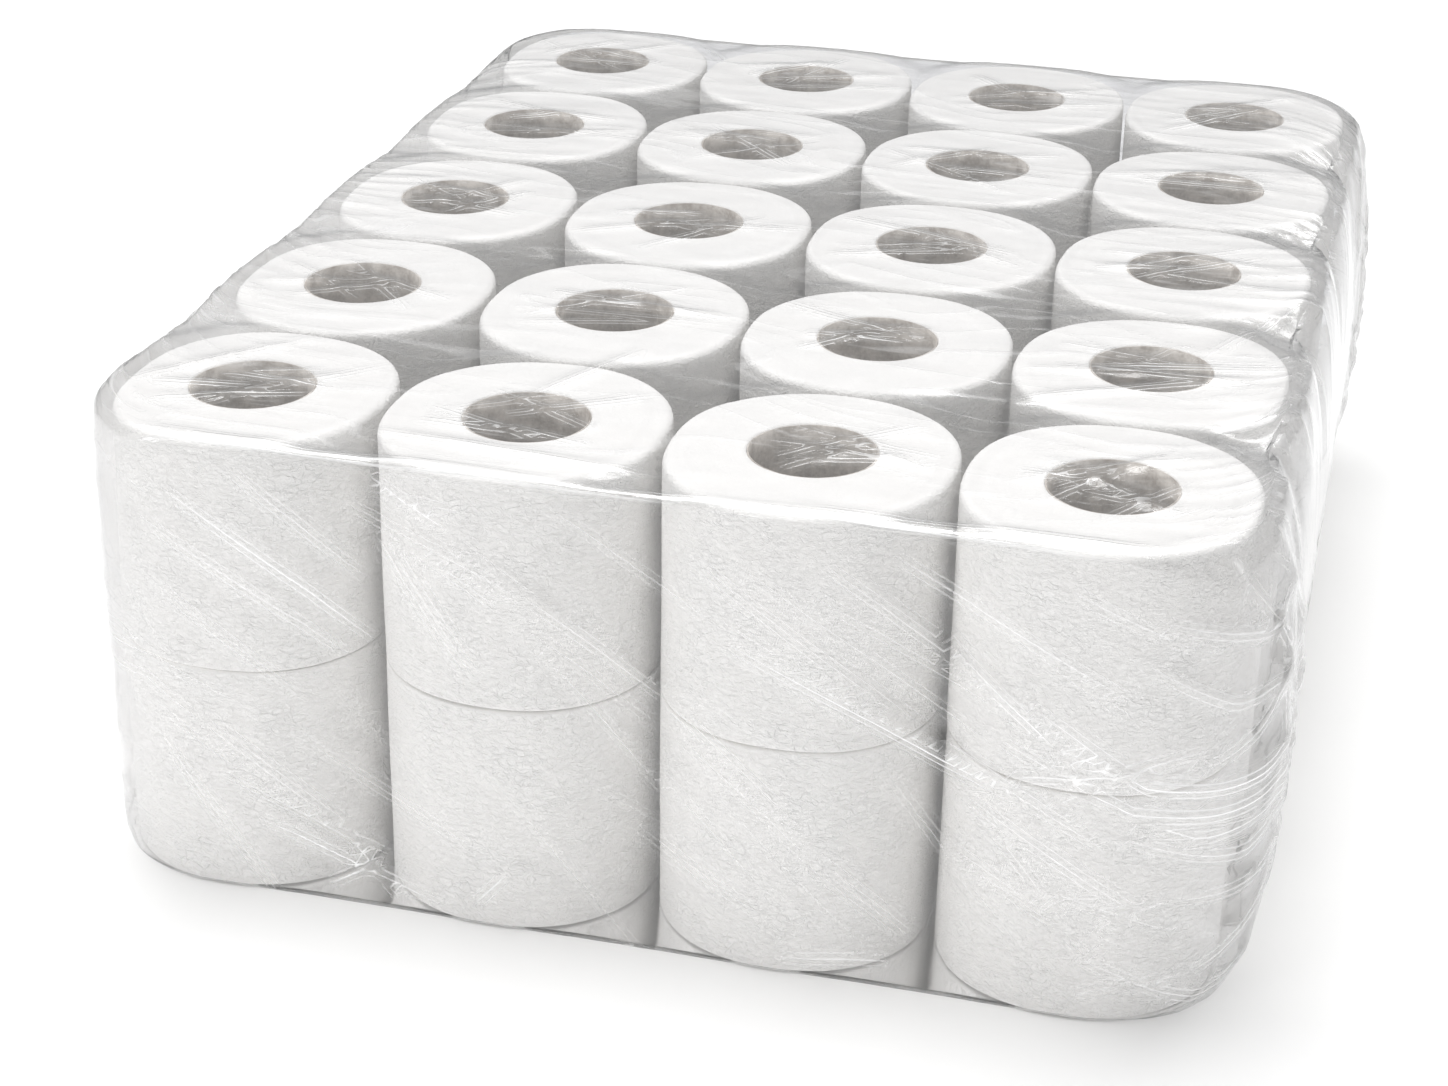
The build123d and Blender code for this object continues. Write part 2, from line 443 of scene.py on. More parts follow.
def bag_surface():
    """Points and outward directions of the bag before its folds: rows along X, each a girth line. The rows go
    round the plan's corners and then in across each end to the weld, and the sharp edges are rounded by
    stepping in to a smaller block and out again by the edge radius."""
    run = bag_loop()
    turn = np.linspace(0, np.pi / 2, 22)
    straight = np.linspace(0, BAG_HALF_WIDTH - BAG_CORNER, 57)[:-1]
    half_x = np.concatenate([straight, BAG_HALF_WIDTH - BAG_CORNER + BAG_CORNER * np.sin(turn)])
    half_depth = np.concatenate(
        [np.full(len(straight), BAG_HALF_DEPTH), BAG_HALF_DEPTH - BAG_CORNER + BAG_CORNER * np.cos(turn)]
    )
    inward = np.linspace(0, WELD_GAP, 25)[1:]
    y, z = girth_place(run, half_depth)
    edge_y, edge_z = y[-1], z[-1]
    half = BAG_HEIGHT + 2 * BAG_HALF_DEPTH
    walk = np.where(run > half, 2 * half - run, run)
    seal_y = (walk / half * 2 - 1) * (BAG_HALF_DEPTH - BAG_CORNER * 1.3)
    cap_y = edge_y[None, :] * (1 - inward[:, None]) + seal_y[None, :] * inward[:, None]
    cap_z = edge_z[None, :] * (1 - inward[:, None])
    y = np.concatenate([y, cap_y])
    z = np.concatenate([z, cap_z])
    x = np.broadcast_to(np.concatenate([half_x, np.full(len(inward), BAG_HALF_WIDTH)])[:, None], y.shape)
    x = np.concatenate([-x[:0:-1], x])
    y = np.concatenate([y[:0:-1], y])
    z = np.concatenate([z[:0:-1], z])
    core_x = np.clip(x, -(BAG_HALF_WIDTH - BAG_CORNER), BAG_HALF_WIDTH - BAG_CORNER)
    core_y = np.clip(y, -(BAG_HALF_DEPTH - BAG_CORNER), BAG_HALF_DEPTH - BAG_CORNER)
    plan = np.hypot(x - core_x, y - core_y)
    keep = np.minimum(1, (BAG_CORNER - BAG_EDGE) / np.maximum(plan, 1e-9))
    inner_x = core_x + (x - core_x) * keep
    inner_y = core_y + (y - core_y) * keep
    inner_z = np.clip(z, -(BAG_HEIGHT / 2 - BAG_EDGE), BAG_HEIGHT / 2 - BAG_EDGE)
    out = np.stack([x - inner_x, y - inner_y, z - inner_z], axis=-1)
    out = out / np.maximum(np.linalg.norm(out, axis=-1), 1e-9)[..., None]
    points = np.stack([inner_x, inner_y, inner_z], axis=-1) + out * BAG_EDGE
    points[..., 2] += BAG_HEIGHT / 2
    girth = np.broadcast_to(run[None, :], x.shape)
    return points, out, girth


def clear_depth(points, out):
    """How far the film may dip at each point before it meets a roll: none over the rolls' faces, and between
    them the distance to the nearest round wall."""
    x, y = points[..., 0], points[..., 1]
    near_x = np.abs(np.mod(x + COLUMNS / 2 * ROLL_PITCH_X, ROLL_PITCH_X) - ROLL_PITCH_X / 2)
    near_y = np.abs(np.mod(y + ROWS / 2 * ROLL_PITCH_Y, ROLL_PITCH_Y) - ROLL_PITCH_Y / 2)
    flat_x, flat_y = ROLL_HALF_WIDTH - ROLL_CORNER, ROLL_HALF_DEPTH - ROLL_CORNER
    bow_x = np.minimum(np.maximum(near_x - flat_x, 0), ROLL_CORNER)
    bow_y = np.minimum(np.maximum(near_y - flat_y, 0), ROLL_CORNER)
    front = ROLL_CORNER - np.sqrt(ROLL_CORNER**2 - bow_x**2)
    end = ROLL_CORNER - np.sqrt(ROLL_CORNER**2 - bow_y**2)
    over = np.hypot(np.maximum(near_x - flat_x, 0), np.maximum(near_y - flat_y, 0)) - ROLL_CORNER
    top = np.clip(over, 0, None) * 1.5
    wall = np.where(np.abs(out[..., 1]) > np.abs(out[..., 0]), front, end)
    outside = (np.abs(x) > BAG_HALF_WIDTH - BAG_CORNER) & (np.abs(y) > BAG_HALF_DEPTH - BAG_CORNER)
    wall = np.where(outside, 0, wall)
    level = np.abs(out[..., 2])
    return top * level + wall * (1 - level)


def pulled_fold(a, b, start, end, width):
    """One long fold of the film between two points: its strength from 0 to 1, a bell curve across it that fades
    at both ends, and how far each point lies to one side of its line."""
    along = np.array(end) - np.array(start)
    length = np.hypot(*along)
    unit = along / length
    s = np.clip(((a - start[0]) * unit[0] + (b - start[1]) * unit[1]) / length, 0, 1)
    t = -(a - start[0]) * unit[1] + (b - start[1]) * unit[0]
    return (4 * s * (1 - s)) ** 0.6 * np.exp(-((t / width) ** 2)), t


# The clearest folds, in millimetres: where each starts and ends, its width, and how bright the painted highlight
# along it is, as milky white. In front they are given by x and height, and on top by x and y.
FRONT_FOLDS = (
    (-179, 172, -96, 119, 2.2, 0.8), (-153, 184, -98, 144, 3.4, 0.4), (-192, 160, -104, 110, 2.6, 0.5),
    (-196, 140, -120, 88, 3.6, 0.25), (-96, 186, -66, 168, 1.7, 0.8), (-98, 180, -60, 176, 1.7, 0.5),
    (-94, 168, -56, 108, 4.2, 0.35), (-162, 55, -92, 25, 3.0, 0.5), (-148, 35, -72, 7, 2.2, 0.8),
    (-172, 78, -104, 31, 4.2, 0.4), (-112, 36, -90, 6, 1.8, 0.7), (-60, 150, 20, 96, 4.5, 0.2),
    (36, 139, 176, 79, 2.9, 0.75), (30, 150, 150, 92, 4.4, 0.35), (22, 172, 130, 100, 5.0, 0.35),
    (70, 176, 150, 126, 3.6, 0.4), (96, 181, 188, 134, 2.2, 0.6), (114, 154, 178, 96, 2.8, 0.7),
    (113, 112, 178, 76, 3.0, 0.7), (126, 90, 203, 43, 3.4, 0.55), (56, 66, 112, 24, 5.0, 0.3),
    (0, 60, 60, 22, 5.0, 0.2), (118, 70, 190, 30, 4.0, 0.35), (146, 118, 219, 96, 2.1, 0.9),
    (138, 99, 219, 112, 2.1, 0.9), (158, 90, 219, 130, 2.0, 0.8), (180, 72, 219, 150, 2.2, 0.6),
    (150, 58, 219, 40, 2.2, 0.5), (176, 40, 219, 74, 2.2, 0.6), (160, 176, 219, 150, 2.2, 0.6),
    (-120, 8, -98, 22, 1.8, 0.8), (-60, 10, -46, 26, 1.8, 0.6), (60, 8, 104, 14, 2.0, 0.7),
    (-212, 150, -180, 100, 2.4, 0.3), (-214, 110, -186, 60, 2.6, 0.3), (170, 12, 218, 30, 2.2, 0.6),
)
TOP_FOLDS = (
    (-214, -289, 40, -290, 1.9, 0.9), (-196, -283, -10, -288, 2.0, 0.5), (-20, -287, 212, -291, 2.0, 0.9),
    (60, -283, 216, -284, 2.2, 0.5), (113, -168, 206, -118, 2.4, 0.5), (183, -105, 220, -22, 2.2, 0.4),
    (-61, -222, -30, -156, 2.2, 0.3), (-172, -20, -140, 30, 2.2, 0.3), (-214, -247, -160, -184, 2.2, 0.4),
    (35, -231, 90, -235, 1.9, 0.5), (143, -255, 187, -194, 2.0, 0.5), (138, -217, 194, -258, 2.0, 0.5),
    (-178, -256, -136, -216, 2.0, 0.4), (-74, -212, -26, -241, 2.0, 0.5), (-110, -262, 10, -272, 2.2, 0.4),
)


# Folds that wrap the upright corners, in millimetres: their turning points, by the distance round the plan from
# the middle of the long side and by height, then width and the strength of the painted highlight along it.
CORNER_FOLDS = (
    (((148, 130), (190, 103), (236, 104), (282, 132)), 2.8, 0.9),
    (((138, 114), (186, 92), (240, 95), (290, 126)), 3.0, 0.8),
    (((162, 100), (206, 84), (250, 90), (296, 122)), 2.6, 0.7),
    (((178, 82), (222, 74), (264, 90), (306, 138)), 3.2, 0.6),
    (((196, 58), (238, 60), (272, 84)), 3.0, 0.5), (((228, 178), (242, 122), (248, 60), (240, 8)), 3.6, 0.5),
    (((248, 184), (262, 112), (262, 26)), 3.4, 0.6), (((216, 184), (236, 152), (264, 96)), 3.0, 0.7),
    (((208, 24), (238, 42), (264, 72)), 3.0, 0.7), (((236, 184), (272, 150), (316, 96)), 3.0, 0.5),
    (((186, 152), (214, 136), (246, 138)), 2.6, 0.5), (((170, 30), (214, 12), (250, 20)), 3.0, 0.6),
    (((190, 168), (226, 160), (256, 168)), 2.8, 0.6), (((204, 110), (230, 128), (250, 164)), 2.8, 0.5),
    (((276, 186), (284, 120), (284, 60)), 4.0, 0.4), (((300, 60), (290, 24), (262, 6)), 3.6, 0.5),
)


def bent_fold(a, b, turns, width):
    """A fold along a line with turning points: its strength from 0 to 1, a bell curve of the distance to its
    nearest run that fades towards its two ends, and that distance with a sign for the side."""
    turns = np.array(turns, dtype=float)
    reach = np.linalg.norm(np.diff(turns, axis=0), axis=1)
    begin = np.concatenate([[0], np.cumsum(reach)])
    nearest = np.full(a.shape, np.inf)
    share = np.zeros(a.shape)
    aside = np.zeros(a.shape)
    for k, length in enumerate(reach):
        unit = (turns[k + 1] - turns[k]) / length
        s = np.clip((a - turns[k, 0]) * unit[0] + (b - turns[k, 1]) * unit[1], 0, length)
        away = np.hypot(a - turns[k, 0] - s * unit[0], b - turns[k, 1] - s * unit[1])
        side = (b - turns[k, 1]) * unit[0] - (a - turns[k, 0]) * unit[1]
        share = np.where(away < nearest, (begin[k] + s) / begin[-1], share)
        aside = np.where(away < nearest, np.copysign(away, side), aside)
        nearest = np.minimum(nearest, away)
    return (4 * share * (1 - share)) ** 0.5 * np.exp(-((nearest / width) ** 2)), aside


def film_folds(points, out, girth):
    """How far the film stands out at each point in metres, its whiteness from 0 to 1, and how many millimetres it
    lies to one side of its strongest fold. The whiteness paints the folds' highlights and the weld as milky
    lines, and the film's floor as a painted lightening of its shade. The height is the swell of the ends, the
    long pulled folds, the gathers along the edges, the tucks between the rows at the ends and an all-over fine
    crinkle, less the dips between the rolls."""
    x, y, z = points[..., 0], points[..., 1], points[..., 2]
    to_end = np.abs(out[..., 0]) * (1 - np.abs(out[..., 2]))
    level = np.clip(out[..., 2], 0, 1)
    mm_x, mm_g = x * 1000, girth * 1000
    warp = value_noise(mm_x / 60, mm_g / 60, 11)
    half = BAG_HEIGHT + 2 * BAG_HALF_DEPTH
    up_front = np.where(girth > 1.5 * half, girth - 2 * half, girth) + BAG_HEIGHT / 2
    up_back = half + BAG_HEIGHT / 2 - girth
    rise = np.zeros(x.shape)
    painted_light_and_weld = np.zeros(x.shape)
    second = np.zeros(x.shape)
    beside = np.zeros(x.shape)

    def lay_fold(fold, where, lift, painted_highlight):
        """Add one fold's height, and keep the painted highlight of the two strongest folds and the strongest's
        side.
        """
        nonlocal rise, painted_light_and_weld, second, beside
        strength = fold[0] * where
        rise = rise + lift * strength
        beside = np.where(painted_highlight * strength > painted_light_and_weld, fold[1], beside)
        second = np.maximum(second, np.minimum(painted_light_and_weld, painted_highlight * strength))
        painted_light_and_weld = np.maximum(painted_light_and_weld, painted_highlight * strength)

    body = 1 - to_end
    for x0, z0, x1, z1, width, painted_highlight in FRONT_FOLDS:
        fold = pulled_fold(mm_x, up_front * 1000, (x0, z0), (x1, z1), 1.5 * width)
        lay_fold(fold, body, 0.0004 * width, painted_highlight)
    for x0, y0, x1, y1, width, painted_highlight in TOP_FOLDS:
        fold = pulled_fold(mm_x, y * 1000, (x0, y0), (x1, y1), 1.6 * width)
        lay_fold(fold, level, 0.0004 * width, painted_highlight)

    # Folds round the upright corners, turned over at the corners that lie across from each other.
    flat_x, flat_y = BAG_HALF_WIDTH - BAG_CORNER, BAG_HALF_DEPTH - BAG_CORNER
    bend = np.arctan2(np.clip(np.abs(x) - flat_x, 0, None), np.clip(np.abs(y) - flat_y, 1e-9, None))
    around = np.minimum(np.abs(x), flat_x) + BAG_CORNER * bend + np.clip(flat_y - np.abs(y), 0, None) * (bend > 1)
    height = np.where(x * y > 0, BAG_HEIGHT - z, z) * 1000
    upright = 1 - np.abs(out[..., 2]) ** 2
    for turns, width, painted_highlight in CORNER_FOLDS:
        fold = bent_fold(around * 1000, height, turns, 1.4 * width)
        lay_fold(fold, upright * np.where(x > 0, 1, 0.3), 0.00045 * width, painted_highlight)

    # Fainter folds: down and away from the upper corners in front and behind, and across each opening on top.
    rng = np.random.default_rng(5)
    for up_side in (up_front, up_back):
        for _ in range(26):
            start = np.array([rng.uniform(-0.21, 0.16), rng.uniform(0.07, 0.19)])
            slope = np.radians(rng.uniform(20, 55))
            end = start + rng.uniform(0.04, 0.14) * np.array([np.cos(slope), -np.sin(slope)])
            width = rng.uniform(3, 6)
            fold = pulled_fold(mm_x, up_side * 1000, start * 1000, end * 1000, width)
            lay_fold(fold, body, rng.uniform(0.00015, 0.00035) * width, rng.uniform(0.12, 0.4))
    for row in range(1, ROWS + 1):
        for column in range(1, COLUMNS + 1):
            centre = roll_centre(row, column)
            for _ in range(5):
                middle = centre + rng.uniform(-0.018, 0.018, 2)
                lean = np.radians(rng.normal(8, 28))
                reach = rng.uniform(0.018, 0.045) * np.array([np.cos(lean), np.sin(lean)])
                start, end = (middle - reach) * 1000, (middle + reach) * 1000
                fold = pulled_fold(mm_x, y * 1000, start, end, rng.uniform(2.6, 4.4))
                lay_fold(fold, level, rng.uniform(0.0003, 0.0007), rng.uniform(0.3, 0.8))

    # Gathers along the two ends of the top: short crests along X, dying out towards the middle.
    from_end = np.clip(BAG_HALF_WIDTH - np.abs(x), 0, None)
    patch = 0.3 + 0.7 * value_noise(mm_x / 45, mm_g / 30, 33)
    for crest, aside, share in (
        (*crests(mm_x / 60 + warp, mm_g / 8 + 3 * warp, 21), 1.0),
        (*crests(mm_x / 40, mm_g / 12 + 2 * warp, 22), 0.8),
    ):
        lay_fold((crest**3, 5 * aside), np.exp(-from_end / 0.045) * level * patch * share, 0.0010, 0.6)

    # Long fine lines over the rest of the top, mostly along X.
    crest, aside = crests(mm_x / 95 + warp, mm_g / 10 + mm_x / 70 + 3 * warp, 31)
    lay_fold((crest**4, 5 * aside), patch * level, 0.0003, 0.28)

    # The swollen ends, and the tucks where the film is drawn in between the rows at their top and low edges.
    lift = np.clip(z / BAG_HEIGHT, 0, 1)
    swell = np.clip(4 * lift * (1 - lift), 0, 1) ** 0.5
    round_end = np.clip((np.abs(out[..., 0]) - 0.15) / 0.75, 0, 1)
    swell = swell * np.where(x > 0, END_SWELL, TIGHT_END_SWELL) * (1 - np.abs(out[..., 2]))
    rise = rise + swell * round_end * round_end * (3 - 2 * round_end)
    from_edge = np.minimum(z, BAG_HEIGHT - z)
    between = np.mod(y + ROWS / 2 * ROLL_PITCH_Y + ROLL_PITCH_Y / 2, ROLL_PITCH_Y) - ROLL_PITCH_Y / 2
    inner_row = np.clip((1.9 * ROLL_PITCH_Y - np.abs(y)) / 0.01, 0, 1)
    wander = 0.008 * (value_noise(z * 1000 / 30, np.round(y / ROLL_PITCH_Y), 41) - 0.5)
    tuck = np.clip(1 - np.abs(between + wander) / TUCK_HALF_WIDTH, 0, 1) ** 1.6
    tuck = tuck * inner_row * np.where(x > 0, 1, 0.15)
    from_rim = np.where(level > 0.7, from_end, from_edge)
    off_side = np.clip(1.5 - np.abs(out[..., 1]) * 3, 0, 1)
    rise = rise - TUCK_DEPTH * tuck * np.exp(-((from_rim / 0.020) ** 2)) * off_side
    rise = rise - 0.004 * tuck * to_end * np.exp(-from_edge / 0.05)
    for crest, aside, share in (
        (*crests(y * 1000 / 15 + 2 * lift, z * 1000 / 110, 42), 1.0),
        (*crests(y * 1000 / 9, z * 1000 / 70 + warp, 43), 0.6),
    ):
        lay_fold((crest**3, 6 * aside), to_end * (0.25 + np.exp(-from_edge / 0.03)) * share, 0.0008, 0.4)

    # A fold's painted highlight shows only where it is clearly stronger than the next one, so that no two cross
    # on one spot.
    painted_light_and_weld = painted_light_and_weld * np.clip((painted_light_and_weld - second) / (0.4 * painted_light_and_weld + 1e-9), 0, 1)

    # An all-over fine crinkle, a slight dip between the rolls, and a floor that lies flat.
    rise = rise + 0.0003 * (value_noise(mm_x / 17, mm_g / 17, 51) - 0.5)
    rise = rise + 0.00015 * value_noise(mm_x / 8, mm_g / 8, 52)
    room = clear_depth(points, out)
    rise = rise - np.minimum(room * 0.10, MOST_DIP) * body
    rise = np.maximum(rise, -(0.0003 + 0.8 * room))
    weld = np.exp(-(((z - BAG_HEIGHT / 2) / 0.002) ** 2)) * to_end * (np.abs(out[..., 0]) > 0.99)
    rise = rise + 0.0008 * weld
    painted_light_and_weld = np.maximum(painted_light_and_weld, 0.5 * weld)
    # The film's floor is made evenly white at 0.6: painted light that lifts the shade seen through it under the
    # rolls.
    under = out[..., 2] < -0.5
    painted_light_and_weld = np.where(under, 0.6, painted_light_and_weld)
    beside = np.where(under, 0, beside)
    rise = np.where(under, np.clip(-0.2 * np.abs(rise), -0.0003, 0), rise)
    return rise, np.clip(painted_light_and_weld, 0, 1), beside


def film_bag():
    """Points, faces, UV pairs per face corner, painted highlight whiteness and fold distance of the whole bag. At
    each end's weld, every coarse step of the lower lip meets two fine steps of the upper lip in three triangles."""
    points, out, girth = bag_surface()
    rise, painted_light_and_weld, beside = film_folds(points, out, girth)
    points = points + out * rise[..., None]
    rows, loop = points.shape[:2]
    i, j = np.meshgrid(np.arange(rows - 1), np.arange(loop), indexing="ij")
    next_j = (j + 1) % loop
    quads = np.stack([i * loop + j, (i + 1) * loop + j, (i + 1) * loop + next_j, i * loop + next_j], axis=-1)
    under_steps = loop - FINE_STEPS
    k = np.arange(under_steps)
    middle = FINE_STEPS + under_steps // 2
    run = np.append(bag_loop(), 2 * BAG_HEIGHT + 4 * BAG_HALF_DEPTH)
    wrap = np.where(j >= middle, run[-1], 0)
    low_girth, high_girth = run[j] - wrap, run[j + 1] - wrap
    walk = np.linalg.norm(np.diff(points[:, FINE_STEPS // 2], axis=0), axis=1)
    walk = np.concatenate([[0], np.cumsum(walk)])
    corners = [(walk[i], low_girth), (walk[i + 1], low_girth), (walk[i + 1], high_girth), (walk[i], high_girth)]
    uv = np.stack([np.stack(np.broadcast_arrays(*corner), axis=-1) for corner in corners], axis=2)
    caps = []
    for row, flip in ((0, 1), (rows - 1, -1)):
        base = row * loop
        coarse_a = base + np.where(k == 0, 0, loop - k)
        coarse_b = base + np.where(k == under_steps - 1, FINE_STEPS, loop - k - 1)
        fine_a, fine_b, fine_c = base + 2 * k, base + 2 * k + 1, base + 2 * k + 2
        tris = [
            np.stack([coarse_a, fine_a, fine_b], axis=-1)[1:],
            np.stack([coarse_a, fine_b, coarse_b], axis=-1),
            np.stack([coarse_b, fine_b, fine_c], axis=-1)[:-1],
        ]
        caps.append(np.concatenate(tris)[:, ::flip])
    caps = np.concatenate(caps)
    cap_uv = np.stack([walk[caps // loop], run[caps % loop]], axis=-1)
    uv = np.concatenate([uv.reshape(-1, 2), cap_uv.reshape(-1, 2)])
    return points, quads.reshape(-1, 4).tolist() + caps.tolist(), uv, painted_light_and_weld, beside


film_points, film_faces, film_uv, film_painted_light_and_weld, film_beside = film_bag()
film_mesh = bpy.data.meshes.new("clear_film_bag")
film_mesh.from_pydata(film_points.reshape(-1, 3).tolist(), [], film_faces)
film_mesh.polygons.foreach_set("use_smooth", np.ones(len(film_mesh.polygons), dtype=bool))
film_mesh.update()
film_mesh.uv_layers.new(name="surface").data.foreach_set("uv", film_uv.astype(np.float32).ravel())
for trait, values in (("painted_light_and_weld", film_painted_light_and_weld), ("beside", film_beside)):
    held = film_mesh.attributes.new(trait, "FLOAT", "POINT")
    held.data.foreach_set("value", values.astype(np.float32).ravel())
film = bpy.data.objects.new("clear_film_bag", film_mesh)
bpy.context.scene.collection.objects.link(film)

# Clear polyethylene film, shrunk tight: nearly invisible face on, bright where it turns to a light or away from
# the eye, and faintly milky. Fine lines from the shrinking break its reflections into short streaks. Along its
# folds, milky white lines are painted highlights, and its floor is painted milky as a painted lightening of the
# shade below the rolls.
clear, clear_output = new_material("shrunk_clear_polyethylene_film")
place = add_node(clear, "ShaderNodeTexCoord")
cut = add_node(clear, "ShaderNodeUVMap", {"uv_map": "surface"})
shape_up = add_node(clear, "ShaderNodeSeparateXYZ", {}, {0: place.outputs["Object"]})
to_side = add_node(clear, "ShaderNodeMath", {"operation": "ABSOLUTE"}, {0: shape_up.outputs[1]})
is_front = add_node(
    clear,
    "ShaderNodeMapRange",
    {"From Min": 0.2895, "From Max": 0.2905, "To Min": 0.0, "To Max": np.radians(32)},
    {"Value": to_side.outputs[0]},
)
pulled = add_node(
    clear,
    "ShaderNodeVectorRotate",
    {"rotation_type": "Z_AXIS"},
    {"Vector": cut.outputs[0], "Angle": is_front.outputs[0]},
)
drawn_out = add_node(
    clear, "ShaderNodeVectorMath", {"operation": "MULTIPLY", 1: (8.0, 70.0, 1.0)}, {0: pulled.outputs[0]}
)
pull_noise = add_node(
    clear,
    "ShaderNodeTexNoise",
    {"Scale": 1.0, "Detail": 1.0, "Roughness": 0.5, "Distortion": 0.2},
    {"Vector": drawn_out.outputs[0]},
)
# The whiteness stored on the mesh: painted highlights along the folds, the weld line and the floor's painted
# lightening.
painted_light_and_weld = add_node(clear, "ShaderNodeAttribute", {"attribute_name": "painted_light_and_weld"})
beside = add_node(clear, "ShaderNodeAttribute", {"attribute_name": "beside"})
wander = add_node(
    clear, "ShaderNodeMath", {"operation": "MULTIPLY_ADD", 1: 3.0, 2: -1.5}, {0: pull_noise.outputs["Fac"]}
)
phase = add_node(
    clear,
    "ShaderNodeMath",
    {"operation": "MULTIPLY_ADD", 1: 2.4},
    {0: beside.outputs["Fac"], 2: wander.outputs[0]},
)
ripple = add_node(clear, "ShaderNodeMath", {"operation": "COSINE"}, {0: phase.outputs[0]})
pull_line = add_node(
    clear,
    "ShaderNodeMapRange",
    {"interpolation_type": "SMOOTHSTEP", "From Min": 0.3, "From Max": 1.0},
    {"Value": ripple.outputs[0]},
)
line_height = add_node(
    clear, "ShaderNodeMath", {"operation": "MULTIPLY"}, {0: pull_line.outputs[0], 1: painted_light_and_weld.outputs["Fac"]}
)
film_height = add_node(
    clear,
    "ShaderNodeMath",
    {"operation": "MULTIPLY_ADD", 1: 0.6},
    {0: pull_noise.outputs["Fac"], 2: line_height.outputs[0]},
)
shrink_bump = add_node(
    clear, "ShaderNodeBump", {"Strength": 0.5, "Distance": 0.0006}, {"Height": film_height.outputs[0]}
)
gloss = add_node(
    clear,
    "ShaderNodeBsdfPrincipled",
    {"Base Color": linear("#FFFFFF"), "Metallic": 1.0, "Roughness": 0.13},
    {"Normal": shrink_bump.outputs[0]},
)
milk = add_node(clear, "ShaderNodeBsdfDiffuse", {"Color": linear("#FFFFFF")})
sheen = add_node(
    clear,
    "ShaderNodeBsdfPrincipled",
    {"Base Color": linear("#FFFFFF"), "Metallic": 1.0, "Roughness": 0.45},
)
# Milky white diffuse and rough sheen: the film's own haze, and the look of its painted fold highlights.
milky_and_painted_highlight = add_node(clear, "ShaderNodeMixShader", {0: 0.6}, {1: milk.outputs[0], 2: sheen.outputs[0]})
turning = add_node(clear, "ShaderNodeFresnel", {"IOR": 1.5}, {"Normal": shrink_bump.outputs[0]})
grazing = add_node(
    clear, "ShaderNodeMapRange", {"From Min": 0.05, "From Max": 0.5}, {"Value": turning.outputs[0]}
)
thicker = add_node(clear, "ShaderNodeMix", {"data_type": "RGBA"}, {"Factor": grazing.outputs[0]})
thicker.inputs[6].default_value = linear("#FBFBFC")
thicker.inputs[7].default_value = linear("#C6C7CA")
through = add_node(clear, "ShaderNodeBsdfTransparent", {}, {"Color": thicker.outputs[2]})
share = add_node(
    clear,
    "ShaderNodeMath",
    {"operation": "MULTIPLY_ADD", 1: 1.2, 2: 0.01, "use_clamp": True},
    {0: turning.outputs[0]},
)
line_share = add_node(
    clear, "ShaderNodeMapRange", {"To Min": 0.22, "To Max": 1.15}, {"Value": pull_line.outputs[0]}
)
# An even milkiness of 0.085, plus the painted highlights along the folds, the white weld line and the painted
# lightening of the floor.
haze_and_painted_highlight = add_node(
    clear,
    "ShaderNodeMath",
    {"operation": "MULTIPLY_ADD", 2: 0.085},
    {0: painted_light_and_weld.outputs["Fac"], 1: line_share.outputs[0]},
)
veil = add_node(
    clear, "ShaderNodeMixShader", {}, {0: haze_and_painted_highlight.outputs[0], 1: through.outputs[0], 2: milky_and_painted_highlight.outputs[0]}
)
film_shader = add_node(
    clear, "ShaderNodeMixShader", {}, {0: share.outputs[0], 1: veil.outputs[0], 2: gloss.outputs[0]}
)
clear.node_tree.links.new(film_shader.outputs[0], clear_output.inputs[0])
film.data.materials.append(clear)
film.visible_shadow = False
film.visible_diffuse = False
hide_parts("film_bag")
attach(film, "root")

# ---------------------------------------------------------------------------------------------------------
# The studio: a pale floor, a broad light above, a tall one to the left in front, narrow ones behind and to the
# right that draw the film's streaks, and the camera.
FLOOR_Z = -0.0004
floor_mesh = bpy.data.meshes.new("studio_floor")
floor_corners = [(-6, -6, FLOOR_Z), (6, -6, FLOOR_Z), (6, 9, FLOOR_Z), (-6, 9, FLOOR_Z)]
floor_mesh.from_pydata(floor_corners, [], [(0, 1, 2, 3)])
floor = bpy.data.objects.new("studio_floor", floor_mesh)
bpy.context.scene.collection.objects.link(floor)
pale, pale_output = new_material("matt_white_paper_sweep")
place = add_node(pale, "ShaderNodeTexCoord")
grain = add_node(pale, "ShaderNodeTexNoise", {"Scale": 3.0}, {"Vector": place.outputs["Object"]})
pale_tone = add_node(pale, "ShaderNodeMix", {"data_type": "RGBA"}, {"Factor": grain.outputs["Fac"]})
pale_tone.inputs[6].default_value = linear("#FDFDFD")
pale_tone.inputs[7].default_value = linear("#FFFFFF")
pale_surface = add_node(
    pale,
    "ShaderNodeBsdfPrincipled",
    {"Roughness": 1.0, "Specular IOR Level": 0.0},
    {"Base Color": pale_tone.outputs[2]},
)
pale.node_tree.links.new(pale_surface.outputs[0], pale_output.inputs[0])
floor.data.materials.append(pale)


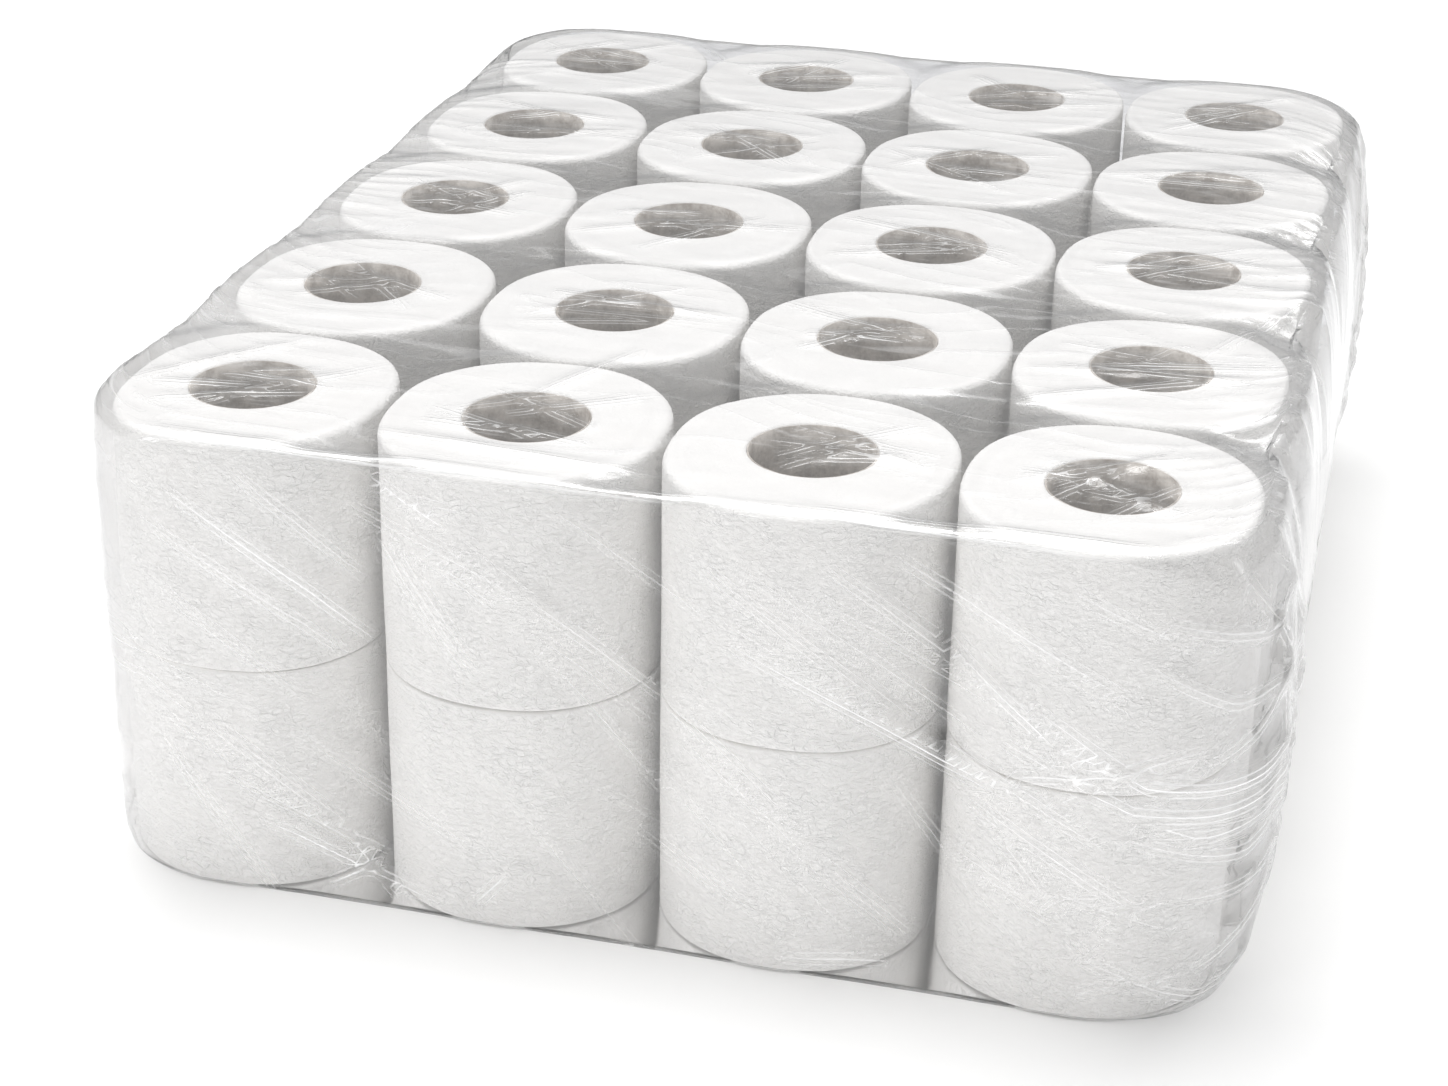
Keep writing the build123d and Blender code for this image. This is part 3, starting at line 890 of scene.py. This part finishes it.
def softbox(name, place, aim, width, height, radiance):
    """A rectangular area light at a place, facing a point, of a given brightness per square metre."""
    light = bpy.data.lights.new(name, "AREA")
    light.shape = "RECTANGLE"
    light.size = width
    light.size_y = height
    light.energy = radiance * width * height * np.pi
    lamp = bpy.data.objects.new(name, light)
    bpy.context.scene.collection.objects.link(lamp)
    back = np.array(place, dtype=float) - np.array(aim, dtype=float)
    back /= np.linalg.norm(back)
    right = np.cross([0, 0, 1.0] if abs(back[2]) < 0.99 else [0, 1.0, 0], back)
    right /= np.linalg.norm(right)
    up = np.cross(back, right)
    turn = Matrix(np.column_stack([right, up, back]).tolist()).to_4x4()
    turn.translation = place
    lamp.matrix_world = turn


softbox("light_above", (-0.3, 0.2, 2.6), (0, 0, 0), 1.6, 1.6, 7.3)
softbox("light_front_left", (-2.3, -2.3, 0.8), (0, 0, 0.1), 0.7, 1.3, 5.2)
softbox("light_front", (-0.1, -3.3, 1.25), (0, 0, 0.1), 1.7, 1.0, 2.2)
softbox("light_behind", (0.4, 3.0, 3.3), (0, 0, 0.1), 2.4, 0.6, 4.5)
softbox("light_right", (2.9, -0.4, 1.0), (0, 0, 0.1), 0.1, 1.6, 8.0)

world = bpy.data.worlds.new("studio_world")
world.use_nodes = True
world.node_tree.nodes["Background"].inputs[0].default_value = (1, 1, 1, 1)
world.node_tree.nodes["Background"].inputs[1].default_value = 0.35
bpy.context.scene.world = world
bpy.context.scene.view_settings.view_transform = "Standard"

azimuth, elevation, roll_angle = np.radians([14.11, 25.70, 1.01])
back = np.array(
    [np.sin(azimuth) * np.cos(elevation), -np.cos(azimuth) * np.cos(elevation), np.sin(elevation)]
)
level = np.cross([0, 0, 1.0], back)
level /= np.linalg.norm(level)
upright = np.cross(back, level)
right = np.cos(roll_angle) * level + np.sin(roll_angle) * upright
up = -np.sin(roll_angle) * level + np.cos(roll_angle) * upright
camera_data = bpy.data.cameras.new("camera")
camera_data.sensor_width = 36.0
camera_data.lens = 70.34
camera = bpy.data.objects.new("camera", camera_data)
bpy.context.scene.collection.objects.link(camera)
turn = Matrix(np.column_stack([right, up, back]).tolist()).to_4x4()
turn.translation = (0.2550, -1.1587, 0.6080)
camera.matrix_world = turn
bpy.context.scene.camera = camera
